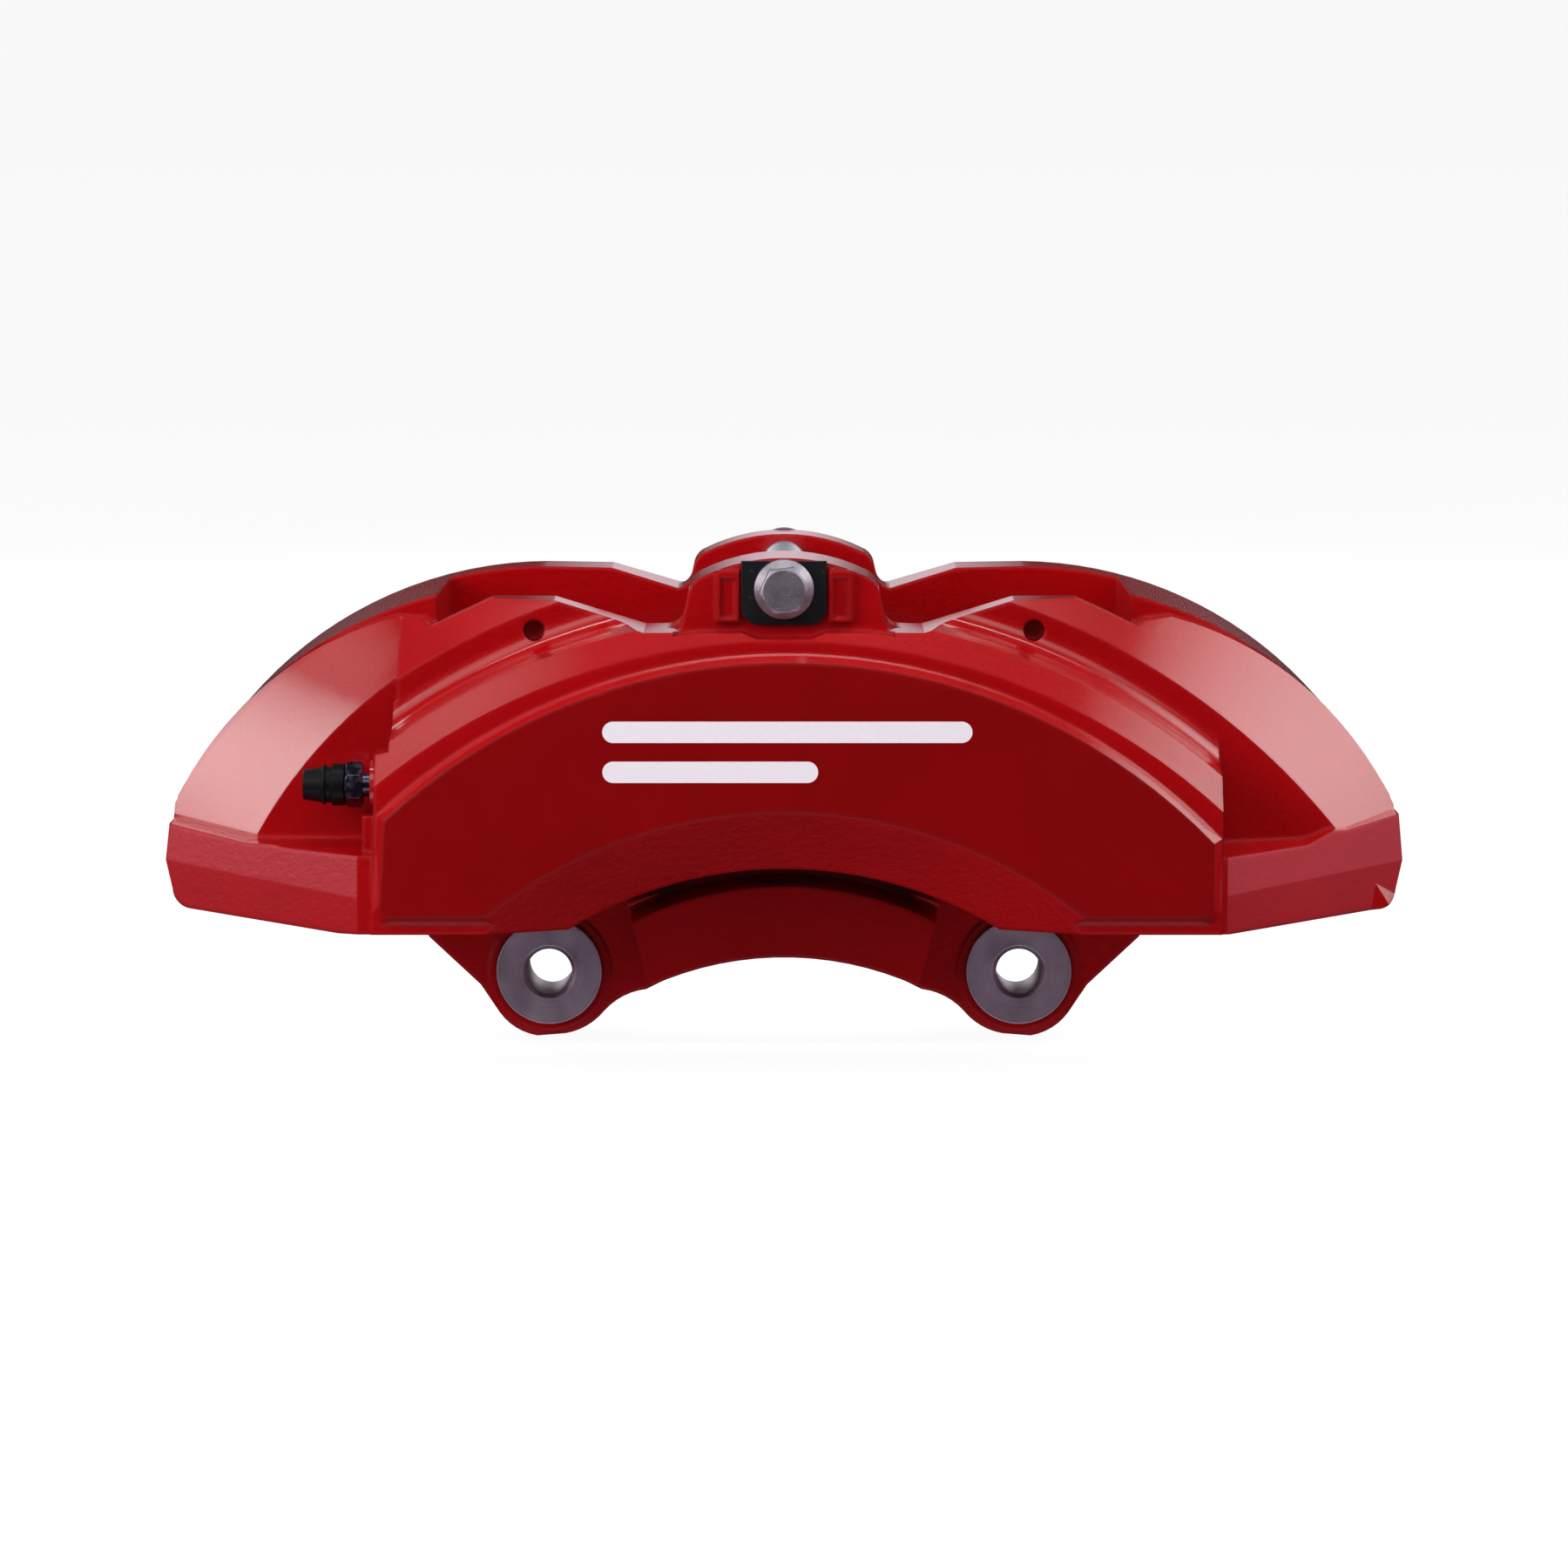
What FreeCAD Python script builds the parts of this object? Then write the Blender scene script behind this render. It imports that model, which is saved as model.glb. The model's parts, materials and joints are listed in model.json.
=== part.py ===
"""Six-piston fixed brake caliper with pads, in millimetres.

X runs along the caliper's length, +Y points inboard along the disc's axis, +Z points away from that axis.
The origin is midway between the two mounting holes, on the face that meets the knuckle.
"""
import FreeCAD
import Part
import math
import os

V = FreeCAD.Vector

# ---- Driving dimensions -------------------------------------------------------------------------
DISC_AXIS_Z = -78.0        # height of the brake disc's axis
DISC_R = 195.0             # outer radius of the disc the caliper spans
DISC_THICK = 34.0
DISC_CLEAR_R = DISC_R + 10.0
DISC_SLOT_HALF = 21.0      # half width of the slot cut through the end walls
DISC_MID_Y = -65.0

FRONT_Y = -143.0           # outermost face, the raised front panel
LEDGE_Y = FRONT_Y + 3.5    # face of the ledge that the panel stands on
FLOOR_Y = -117.0           # floor of the scoop behind the panel
DEEP_FLOOR_Y = -110.0      # floor of the recess round the bleed screw
RIM_Y = -97.0              # where the bevel ends on that side
OUT_WALL_Y = -101.0        # outboard wall of the pad pocket
IN_WALL_Y = -29.0          # inboard wall of the pad pocket
WEB_BACK_Y = 5.0           # back of the inboard half between the cylinder housings
BACK_Y = 12.0              # back of the inboard cylinder housings
BACK_RIM_Y = -4.0          # back of the inboard half round its outer edge
BACK_END_Y = -12.0         # back of the inboard half at its ends

HALF_LENGTH = 188.0
END_ARC_X, END_ARC_Z, END_ARC_R = 76.0, 5.0, 125.0
PARTING_Z = 47.0
BOTTOM_Z = 27.5
WINDOW_HALF = 106.0        # half length of the opening over the pads
POCKET_HALF = 97.5         # half distance between the pad abutments

PANEL_R = 143.0            # inner radius of the panel's face
PANEL_LEFT, PANEL_RIGHT = -119.5, 128.6
PANEL_TOP_Z, PANEL_FOOT_Z = 109.7, 33.0
SIDE_LEFT, SIDE_RIGHT = -122.5, 131.5      # walls at the ends of the ledges
STEP_X = -117.0            # step down into the recess round the bleed screw
LEDGE_R = 194.0
WALL_R, COVE_R = 203.0, 7.0                # outer wall of the ledges, and the cove at its foot
SCOOP_R = 217.0            # where the scoop's floor meets the bevel
LIP_R, LIP_Y = 124.0, -128.0

MOUNT_HALF = 75.0          # half distance between the mounting holes
MOUNT_R = 7.25             # clearance hole for an M14 bolt
LUG_R = 21.0
LUG_FRONT_Y = -25.0
BUSH_FLANGE_R, BUSH_FLANGE_T, BUSH_BODY_R = 16.8, 4.0, 12.0

BOSS_FOOT_HALF, BOSS_FOOT_Z = 33.5, 108.0
BOLT_Z = 131.0             # height of the tie bolt
BOLT_R = 4.0
BOLT_BOSS_Y = -131.0       # front of the outboard bolt boss
BOLT_BACK_Y = -9.0         # back of the inboard bolt boss
FRAME_X, FRAME_Z = (13.4, 20.4), (121.0, 136.8)    # raised frame beside the seat plate

PISTON_RING_R = 166.0      # radius about the disc axis on which the cylinders lie
CYLINDERS = (              # name, offset along X, bore radius
    ("leading", -60.0, 15.0),
    ("centre", 0.0, 17.0),
    ("trailing", 61.0, 19.0),
)
BORE_DEPTH = 30.5
PISTON_LENGTH = 28.5
PISTON_GAP = 0.05          # running clearance, radial
PISTON_PROUD = 1.5         # crown beyond the pocket wall with new pads

PLATE_T, LINING_T, SHIM_T = 6.0, 10.1, 0.8
CONTACT_GAP = 0.3          # piston crown to shim, and lining to disc
PIN_X, PIN_Z, PIN_R = 75.5, 110.0, 3.0
DIMPLE_Z, DIMPLE_R = 117.2, 3.2            # two blind dimples in the scoop

BLEED_Z = 71.2
BLEED_OUT_Y = -124.0
BLEED_IN_Y = 3.0
BLEED_FACE_X = -124.6      # face that a bleed screw enters
BLEED_SEAT_X = -109.0      # mouth of its conical seat
BLEED_HOLE_R = 5.05
GALLERY_R = 2.0
CROSSOVER_X, CROSSOVER_Z = 152.0, 77.0
PLUG_R, PLUG_SEAT_Y = 5.0, -20.0           # seat of the plug that closes the crossover

HOSE_X, HOSE_Z = 32.0, 80.0
HOSE_R, HOSE_DEPTH = 4.5, 14.0             # M10 x 1 port, at the thread's crest
HOSE_FACE_Y = BACK_Y + 3.0
INSERT_R = 6.5             # threaded insert pressed into the hose port


# ---- Helpers ------------------------------------------------------------------------------------
def is_arc(step):
    """A step of an outline is a point, for a line, or a (via, end) pair, for an arc."""
    return isinstance(step[0], tuple)


def edges(outline, put):
    """Closed chain of edges through an outline, each point placed in space by put."""
    made = []
    start = here = outline[0]
    for step in outline[1:]:
        if is_arc(step):
            via, end = step
            made.append(Part.Arc(put(here), put(via), put(end)).toShape())
        else:
            end = step
            made.append(Part.LineSegment(put(here), put(end)).toShape())
        here = end
    if here != start:
        made.append(Part.LineSegment(put(here), put(start)).toShape())
    return made


def face(outline, put):
    return Part.Face(Part.Wire(edges(outline, put)))


def prism(outline, y_from, y_to):
    """Outline in X and Z, extruded along Y."""
    flat = face(outline, lambda p: V(p[0], y_from, p[1]))
    return flat.extrude(V(0, y_to - y_from, 0))


def ring(profile, centre_x=0.0, centre_z=DISC_AXIS_Z):
    """Profile in radius and Y, revolved about an axis parallel to Y."""
    flat = face(profile, lambda p: V(centre_x + p[0], p[1], centre_z))
    return flat.revolve(V(centre_x, 0, centre_z), V(0, 1, 0), 360)


def rod_y(x, z, radius, y_from, y_to):
    return Part.makeCylinder(radius, y_to - y_from, V(x, y_from, z), V(0, 1, 0))


def rod_x(y, z, radius, x_from, x_to):
    return Part.makeCylinder(radius, x_to - x_from, V(x_from, y, z), V(1, 0, 0))


def box(x, y, z):
    """Box from three (low, high) pairs."""
    return Part.makeBox(x[1] - x[0], y[1] - y[0], z[1] - z[0], V(x[0], y[0], z[0]))


def hexagon_x(y, z, across_flats, x_from, x_to):
    radius = across_flats / math.sqrt(3)
    corners = [
        V(x_from, y + radius * math.sin(k * math.pi / 3), z + radius * math.cos(k * math.pi / 3))
        for k in range(6)
    ]
    flat = Part.Face(Part.makePolygon(corners + corners[:1]))
    return flat.extrude(V(x_to - x_from, 0, 0))


def hexagon_y(x, z, across_flats, y_from, y_to, turn=0.0):
    """Hexagonal rod along Y; with no turn, given in degrees, a corner is at its top."""
    radius = across_flats / math.sqrt(3)
    angles = [math.radians(turn + 60 * k) for k in range(6)]
    corners = [V(x + radius * math.sin(angle), y_from, z + radius * math.cos(angle)) for angle in angles]
    flat = Part.Face(Part.makePolygon(corners + corners[:1]))
    return flat.extrude(V(0, y_to - y_from, 0))


def mirrored_x(shape):
    return shape.mirror(V(0, 0, 0), V(1, 0, 0))


def flipped(point):
    return (-point[0], point[1])


def mirror_path(right):
    """Closed outline from its right half, which runs from the top to the bottom."""
    ends = [right[0]] + [step[1] if is_arc(step) else step for step in right[1:]]
    outline = list(right)
    if ends[-1][0] != 0:
        outline.append(flipped(ends[-1]))
    for step, before in zip(right[:0:-1], ends[-2::-1]):
        outline.append((flipped(step[0]), flipped(before)) if is_arc(step) else flipped(before))
    if ends[0][0] == 0:
        last = outline[-1]
        outline[-1] = (last[0], right[0]) if is_arc(last) else right[0]
    return outline


def rounded(before, corner, after, reach):
    """Steps that round a corner: a point on the way in, then an arc that ends on the way out."""
    ways = []
    for end in (before, after):
        length = math.dist(end, corner)
        ways.append(((end[0] - corner[0]) / length, (end[1] - corner[1]) / length))
    (in_x, in_z), (out_x, out_z) = ways
    half_angle = math.acos(in_x * out_x + in_z * out_z) / 2
    radius = reach * math.tan(half_angle)
    middle = radius / math.sin(half_angle) - radius
    across = math.hypot(in_x + out_x, in_z + out_z)
    start = (corner[0] + in_x * reach, corner[1] + in_z * reach)
    via = (corner[0] + (in_x + out_x) / across * middle, corner[1] + (in_z + out_z) / across * middle)
    end = (corner[0] + out_x * reach, corner[1] + out_z * reach)
    return [start, (via, end)]


def disc_height(x, radius):
    """Height of a circle about the disc's axis at x."""
    return DISC_AXIS_Z + math.sqrt(radius ** 2 - x ** 2)


def end_height(x):
    """Height of the end arc at x."""
    return END_ARC_Z + math.sqrt(END_ARC_R ** 2 - (x - END_ARC_X) ** 2)


def all_of(shapes):
    return shapes[0].fuse(shapes[1:]) if len(shapes) > 1 else shapes[0]


def clean(shape):
    return shape.removeSplitter()


# ---- Caliper body -------------------------------------------------------------------------------
END_STEPS = [              # end of the body, from the top of the end arc to the flat bottom
    ((150.0, end_height(150.0)), (186.0, end_height(186.0))),
    (HALF_LENGTH, PARTING_Z),
    (186.0, 38.0),
    ((184.6, 34.4), (181.0, 32.3)),
    (134.0, BOTTOM_Z),
]


def body_outline():
    """Inboard half and end bridges: flat-topped, with a valley at each side of the bolt boss."""
    valley, shoulder = (33.5, 123.0), (54.5, 129.5)
    right = [valley, shoulder, (END_ARC_X, 130.0)] + END_STEPS
    return mirror_path(right)


def outboard_outline():
    """Outboard half: low valleys beside the boss, a flat crest each side, and a notch at each window's end."""
    right = [
        (31.2, 118.2),
        (42.0, 118.0),
        (69.5, 126.4),
        (88.5, 126.5),
        (107.5, 117.7),
        (109.5, 119.2),
        (118.0, 120.0),
        ((157.6, 99.5), (186.6, 62.5)),
    ] + END_STEPS[1:]
    return mirror_path(right)


def boss_outline():
    """Boss of the tie bolt: leaning sides and an arched top with rounded corners."""
    foot, shoulder, crest = (BOSS_FOOT_HALF, BOSS_FOOT_Z), (28.0, 133.0), (0.0, 140.2)
    return mirror_path([crest] + rounded_arch(crest, shoulder, foot) + [foot])


def rounded_arch(crest, shoulder, foot):
    """Arc from the crest to near the shoulder, then the shoulder's rounded corner."""
    radius = (shoulder[0] ** 2 + (crest[1] - shoulder[1]) ** 2) / (2 * (crest[1] - shoulder[1]))
    centre_z = crest[1] - radius

    def on_arch(x):
        return (x, centre_z + math.sqrt(radius ** 2 - x ** 2))
    reach = 3.0
    near, turn = rounded(on_arch(shoulder[0] - 2 * reach), shoulder, foot, reach)
    return [(on_arch(near[0] / 2), near), turn]


def boss_fillets(valley_z, y_from, y_to):
    """Concave fillets where the boss's sides meet the valleys."""
    shoulder, foot = (28.0, 133.0), (BOSS_FOOT_HALF, BOSS_FOOT_Z)
    share = (shoulder[1] - valley_z) / (shoulder[1] - foot[1])
    corner = (shoulder[0] + (foot[0] - shoulder[0]) * share, valley_z)
    outline = [corner] + rounded(shoulder, corner, (corner[0] + 10.0, valley_z), 4.0)
    fillet = prism(outline, y_from, y_to)
    return [fillet, mirrored_x(fillet)]


def outboard_base():
    """Everything behind the scoop, with the wide bevel round its outer edge."""
    back_y = DISC_MID_Y - DISC_SLOT_HALF
    far_r = SCOOP_R + 30.0
    cone = ring([
        (LIP_R, back_y),
        (LIP_R, FLOOR_Y),
        (SCOOP_R - 2.0, FLOOR_Y),
        (far_r, FLOOR_Y + far_r - SCOOP_R + 2.0),
        (far_r, back_y),
    ])
    base = prism(outboard_outline(), FLOOR_Y, back_y).common(cone)
    left_end = box((-200.0, STEP_X), (FLOOR_Y - 1, RIM_Y), (-10.0, 150.0))
    return base.cut(left_end).fuse(left_bevel())


def left_bevel():
    """Deeper recess round the bleed screw; its bevel widens towards the foot."""
    foot = BOTTOM_Z - 7.5
    near_x = STEP_X + 1
    crease = [(near_x, foot), (-160.4, foot), (-160.4, 54.4), ((-141.0, 81.5), (near_x, 103.5))]
    rim = [(near_x, foot), (-HALF_LENGTH, foot), (-HALF_LENGTH, 59.5), ((-157.6, 99.5), (near_x, 120.4))]
    wires = [
        Part.Wire(edges(outline, lambda p, y=y: V(p[0], y, p[1])))
        for outline, y in ((crease, DEEP_FLOOR_Y), (rim, RIM_Y))
    ]
    return Part.makeLoft(wires, True, True).common(prism(outboard_outline(), DEEP_FLOOR_Y, RIM_Y))


def panel_outline(grow, arch_r):
    """Face of the panel, or the same outline grown towards its foot."""
    foot = PANEL_FOOT_Z - grow
    left, right = PANEL_LEFT - grow, PANEL_RIGHT + grow
    arch_half = math.sqrt(arch_r ** 2 - (foot - DISC_AXIS_Z) ** 2)
    corner = 4.0
    cut = corner * (1 - math.sqrt(0.5))
    return [
        (left, 62.5 + grow * 0.4),
        ((0.0, PANEL_TOP_Z + grow), (right, 55.5 + grow * 0.4)),
        (right, foot + corner),
        ((right - cut, foot + cut), (right - corner, foot)),
        (arch_half, foot),
        ((0.0, disc_height(0.0, arch_r)), (-arch_half, foot)),
        (left - 1.5 + corner, foot),
        ((left - 1.5 + cut, foot + cut), (left - 1.5, foot + corner)),
    ]


def lip_radius(y):
    """Radius of the sloping lip under the panel at y."""
    return LIP_R + (PANEL_R - LIP_R) * (y - LIP_Y) / (FRONT_Y - LIP_Y)


def front_panel():
    """Ledges and cove round the disc's axis, with the raised panel standing on them."""
    cove_y = FLOOR_Y - COVE_R
    foot_r = WALL_R + COVE_R
    lean = COVE_R * math.sqrt(0.5)
    profile = [
        (LIP_R, FLOOR_Y + 2),
        (LIP_R, LIP_Y),
        (lip_radius(LEDGE_Y), LEDGE_Y),
        (LEDGE_R, LEDGE_Y),
        (LEDGE_R + 2.0, LEDGE_Y + 1.5),
        (LEDGE_R + 7.5, LEDGE_Y + 5.5),
        (WALL_R, cove_y),
        ((foot_r - lean, cove_y + lean), (foot_r, FLOOR_Y)),
        (foot_r, FLOOR_Y + 2),
    ]
    ledges = ring(profile).common(prism(outboard_outline(), FRONT_Y, FLOOR_Y + 2))
    ledges = ledges.common(prism(
        [
            (STEP_X, 140.0), (SIDE_RIGHT, 140.0), (SIDE_RIGHT, BOTTOM_Z), (SIDE_LEFT - 1.5, BOTTOM_Z),
            (SIDE_LEFT, BLEED_Z + 10.0), (STEP_X - 1.5, BLEED_Z + 11.0),
        ],
        FRONT_Y, FLOOR_Y + 2,
    ))
    step_aside = box((-33.2, 33.2), (FRONT_Y, BOLT_BOSS_Y), (100.0, 150.0)).cut(
        rod_y(0, DISC_AXIS_Z, LEDGE_R + 3.8, FRONT_Y - 1, BOLT_BOSS_Y + 1))
    outlines = ((panel_outline(0.0, PANEL_R), FRONT_Y), (panel_outline(2.6, lip_radius(LEDGE_Y)), LEDGE_Y))
    wires = [Part.Wire(edges(outline, lambda p, y=y: V(p[0], y, p[1]))) for outline, y in outlines]
    return ledges.cut(step_aside).fuse(Part.makeLoft(wires, True, True))


def end_block(side, wall_x, crease_x, ledge, rise):
    """Lower corner of the outboard half. Its drafted front sweeps back from the crease to the end."""
    outline = [
        (wall_x, BOTTOM_Z),
        (side * 134.0, BOTTOM_Z),
        (side * 181.0, 32.3),
        ((side * 184.6, 34.4), (side * 186.0, 38.0)),
        (side * HALF_LENGTH, PARTING_Z),
        (side * 186.8, rise),
        (ledge[-1][0], ledge[-1][1]),
        (wall_x, ledge[-1][1]),
    ]
    block = prism(outline, LEDGE_Y, RIM_Y)
    # Both drafts start from the parting line, which climbs towards the end.
    lean, reach = 5.0, 60.0
    near_x, far_x, front_y = crease_x - 6.0, 205.0, LEDGE_Y - 5.0
    crease = (crease_x, LEDGE_Y)
    corners = ((near_x, front_y), (near_x, LEDGE_Y), crease, (far_x, LEDGE_Y + 34.0), (far_x, front_y))
    parting = Part.Face(Part.makePolygon([
        V(side * x, y, PARTING_Z + 0.14 * (x - HALF_LENGTH)) for x, y in corners + corners[:1]
    ]))
    for way in (-1, 1):
        block = block.cut(parting.extrude(V(0, lean, way * reach)))
    # The ledge in the block's top climbs towards the scoop.
    top = ledge + [(ledge[-1][0], 80.0), (wall_x - side * 3, 80.0), (wall_x - side * 3, ledge[0][1])]
    flat = face(top, lambda p: V(p[0], LEDGE_Y - 2, p[1]))
    return block.cut(flat.extrude(V(0, FLOOR_Y - LEDGE_Y + 9, 3.2)))


def outboard_boss():
    """Boss for the tie bolt's head; at each side of the seat plate a raised frame holds a shallow recess."""
    proud, rim = 2.2, 1.3
    (near_x, far_x), (low, high) = FRAME_X, FRAME_Z
    boss = prism(boss_outline(), BOLT_BOSS_Y, OUT_WALL_Y)
    frame = box(FRAME_X, (BOLT_BOSS_Y - proud, BOLT_BOSS_Y + 1), FRAME_Z)
    frame = frame.common(prism(boss_outline(), BOLT_BOSS_Y - proud - 1, OUT_WALL_Y))
    front_y = BOLT_BOSS_Y - proud
    recess = box((near_x + rim, far_x - rim), (front_y - 1, front_y + 1), (low + rim, high - 2 * rim))
    frame = frame.cut(recess)
    return boss.fuse([frame, mirrored_x(frame)] + boss_fillets(118.2, FLOOR_Y, OUT_WALL_Y))


def inboard_half():
    """Inner wall and outer rim, with a round housing standing out behind each inboard cylinder."""
    far_r, rim_r, web_r = 258.0, 236.0, 211.0
    profile = [
        (LIP_R - 8, IN_WALL_Y),
        (far_r, IN_WALL_Y),
        (far_r, BACK_END_Y),
        (rim_r, BACK_END_Y),
        (web_r, BACK_RIM_Y),
        (web_r - 15.0, WEB_BACK_Y - 2.0),
        ((web_r - 17.0, WEB_BACK_Y - 0.6), (web_r - 20.0, WEB_BACK_Y)),
        (LIP_R + 20.0, WEB_BACK_Y),
        (LIP_R - 8, -3.0),
    ]
    half = prism(body_outline(), IN_WALL_Y, BACK_Y).common(ring(profile))
    # The web stops short of the ends, where only the wall behind the bridges is left.
    for side in (-1, 1):
        behind_y = WEB_BACK_Y + 1
        corners = ((96.0, behind_y), (112.0, BACK_END_Y + 4), (200.0, BACK_END_Y - 2), (200.0, behind_y))
        slope = Part.Face(Part.makePolygon([V(side * x, y, -40) for x, y in corners + corners[:1]]))
        half = half.cut(slope.extrude(V(0, 0, 200)))
    boss = prism(boss_outline(), IN_WALL_Y, BOLT_BACK_Y)
    housings = [cylinder_housing(x, radius) for _, x, radius in CYLINDERS]
    return half.fuse([boss] + boss_fillets(123.0, IN_WALL_Y, BOLT_BACK_Y) + housings)


def cylinder_housing(x, radius):
    """Round, chamfered boss behind an inboard bore."""
    z, wall, chamfer = cylinder_height(x), 6.5, 2.5
    base_y = BACK_Y - chamfer
    barrel = rod_y(x, z, radius + wall, IN_WALL_Y + 5, base_y)
    crown = Part.makeCone(radius + wall, radius + wall - chamfer, chamfer, V(x, base_y, z), V(0, 1, 0))
    return barrel.fuse(crown)


def end_bridges():
    """Walls that join the two halves round each end of the disc."""
    near = RIM_Y + 3.0
    span = prism(body_outline(), near, IN_WALL_Y + 5)
    hollow = rod_y(0, DISC_AXIS_Z, DISC_CLEAR_R, near - 1, IN_WALL_Y + 6)
    middle = box((-WINDOW_HALF, WINDOW_HALF), (near - 1, IN_WALL_Y + 6), (-50.0, 150.0))
    return span.cut(hollow).cut(middle)


def inboard_abutments():
    """Shoulders beside the disc slot that take the thrust of the inboard pad's ends."""
    near, far = DISC_MID_Y + DISC_SLOT_HALF, IN_WALL_Y + 2
    slab = prism(body_outline(), near, far)
    slab = slab.cut(rod_y(0, DISC_AXIS_Z, LIP_R + 4, near - 1, far + 1))
    return slab.cut(box((-POCKET_HALF, POCKET_HALF), (near - 1, far + 1), (-50.0, 150.0)))


def lug_plate():
    """Web and lugs below the inboard half, shaped round the two mounting holes."""
    foot_z = -LUG_R
    right = [
        (0.0, 60.0),
        (90.0, 60.0),
        (112.0, 42.0),
        (119.0, BOTTOM_Z),
        (113.5, 11.0),
        (97.0, -4.5),
        (91.0, -13.5),
        ((86.0, -18.3), (79.0, foot_z)),
        (70.0, foot_z + 0.7),
        ((62.6, -17.5), (57.5, -13.0)),
        ((52.0, -8.6), (44.0, -6.0)),
        ((22.5, disc_height(22.5, 83.4)), (0.0, disc_height(0.0, 83.0))),
    ]
    plate = prism(mirror_path(right), LUG_FRONT_Y, 0.0)
    web = prism(
        [
            (-43.0, -3.0),
            (-50.0, 24.0),
            ((0.0, 31.5), (50.0, 24.0)),
            (43.0, -3.0),
            ((0.0, disc_height(0.0, 84.5)), (-43.0, -3.0)),
        ],
        LUG_FRONT_Y - 16.0, LUG_FRONT_Y + 3,
    )
    front, back = LUG_FRONT_Y - 17, LUG_FRONT_Y + 4
    inner_r, outer_r = 96.0, 112.0
    slope = [(107.2, front), (109.4, back)]
    web = web.cut(ring([(inner_r, front)] + slope + [(outer_r, back), (outer_r, front - 1), (inner_r, front - 1)]))
    pads = [rod_y(side * MOUNT_HALF, 0, LUG_R - 1.5, LUG_FRONT_Y - 0.8, LUG_FRONT_Y + 1) for side in (-1, 1)]
    return plate.fuse([web] + pads)


def bleed_boss(y, wall_x, outer_x):
    """Column beside the cylinders that carries a bleed screw."""
    column = box((outer_x + 1.4, wall_x), (y - 9.0, y + 10.0), (50.0, BLEED_Z + 10.0))
    foot = box((outer_x - 2.2, wall_x), (y - 9.0, y + 10.0), (50.0, BLEED_Z - 8.5))
    spot_face = rod_x(y, BLEED_Z, 7.5, outer_x, wall_x)
    return column.fuse([foot, spot_face])


def cylinder_height(x):
    return disc_height(x, PISTON_RING_R)


def cylinder_cuts():
    """Bores with their seal and dust-seal grooves, for both halves."""
    cuts = []
    for _, x, radius in CYLINDERS:
        z = cylinder_height(x)
        for wall, way in ((OUT_WALL_Y, -1), (IN_WALL_Y, 1)):
            def part_of(r, near, far):
                low, high = sorted((wall + way * near, wall + way * far))
                return rod_y(x, z, r, low, high)
            cuts.append(part_of(radius, -1.0, BORE_DEPTH))
            cuts.append(part_of(radius + 3.0, 9.0, 12.6))      # fluid seal
            cuts.append(part_of(radius + 2.0, -1.0, 3.2))      # dust seal
    return cuts


def rod_between(start, end, radius):
    line = end.sub(start)
    return Part.makeCylinder(radius, line.Length, start, line)


def gallery_cuts():
    """Drilled fluid passages: they link each row of cylinders, then cross over in the end bridge."""
    x, z = CROSSOVER_X, CROSSOVER_Z
    cuts = []
    for bleed_y, floor_y, turn_y in ((BLEED_OUT_Y, -129.6, -98.0), (BLEED_IN_Y, -0.4, -32.0)):
        start = V(BLEED_SEAT_X - 1, bleed_y, BLEED_Z)
        cuts.append(rod_between(start, V(-67.0, floor_y, BLEED_Z), GALLERY_R))
        cuts.append(rod_x(floor_y, BLEED_Z, GALLERY_R - 0.5, -67.0, 70.0))
        cuts.append(rod_between(V(76.0, floor_y, z), V(x, turn_y, z), GALLERY_R))
    cuts.append(rod_y(x, z, GALLERY_R, -98.5, PLUG_SEAT_Y + 1))
    cuts.append(rod_y(x, z, PLUG_R, PLUG_SEAT_Y, BACK_Y))
    port_floor = HOSE_FACE_Y - HOSE_DEPTH
    cuts.append(rod_y(HOSE_X, HOSE_Z, INSERT_R, port_floor, HOSE_FACE_Y + 1))
    start = V(HOSE_X, port_floor + 1, HOSE_Z)
    cuts.append(rod_between(start, V(HOSE_X, -0.4, BLEED_Z), GALLERY_R - 0.7))
    return cuts


def seat_plate_gap():
    """Notch in the ledge in front of the boss, which makes room for the seat plate."""
    half, foot_half = 13.3, 8.0
    outline = mirror_path([(half, 140.0), (half, 118.6), (foot_half, 116.4)])
    return prism(outline, FRONT_Y, BOLT_BOSS_Y)


def bleed_cuts(y):
    """Threaded hole and conical seat for a bleed screw."""
    return [
        rod_x(y, BLEED_Z, BLEED_HOLE_R, BLEED_FACE_X - 12, BLEED_SEAT_X),
        Part.makeCone(
            BLEED_HOLE_R, GALLERY_R, BLEED_HOLE_R - GALLERY_R, V(BLEED_SEAT_X, y, BLEED_Z), V(1, 0, 0)),
    ]


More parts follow.
